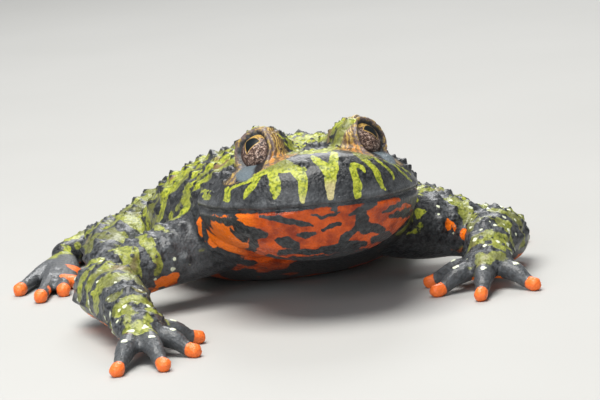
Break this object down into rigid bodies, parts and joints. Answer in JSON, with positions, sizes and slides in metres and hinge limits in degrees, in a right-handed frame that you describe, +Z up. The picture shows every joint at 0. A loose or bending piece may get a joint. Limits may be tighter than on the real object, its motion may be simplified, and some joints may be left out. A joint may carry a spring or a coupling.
{
  "type": "fire-bellied toad",
  "caption": "Life-size still model of a fire-bellied toad sitting with its chest raised on splayed arms, as a museum shows one.",
  "frame": {"origin": "floor point under the middle of the animal's bounding box", "axes": "+Z up from the floor the toad sits on; the toad faces -Y, its rump is towards +Y and its left side is +X"},
  "size_m": [0.0446, 0.0582, 0.0152],
  "materials": {
    "head_skin": "moist skin, yellow-green with black",
    "throat_skin": "moist smooth skin, orange-red with black blotches",
    "back_skin": "moist warty skin, green with black",
    "limb_skin": "moist warty skin, green and black bars",
    "hand_skin": "moist smooth skin, dark slate with orange tips",
    "eye": "wet cornea over a coppery iris"
  },
  "bodies": {
    "root": {"head": "head_skin", "lower_jaw": "throat_skin", "torso": "back_skin", "eye_left": "eye", "eye_right": "eye", "upper_arm_left": "limb_skin", "forearm_left": "limb_skin", "hand_left": "hand_skin", "thigh_left": "limb_skin", "shank_left": "limb_skin", "foot_left": "hand_skin", "upper_arm_right": "limb_skin", "forearm_right": "limb_skin", "hand_right": "hand_skin", "thigh_right": "limb_skin", "shank_right": "limb_skin", "foot_right": "hand_skin"}
  },
  "joints": []
}
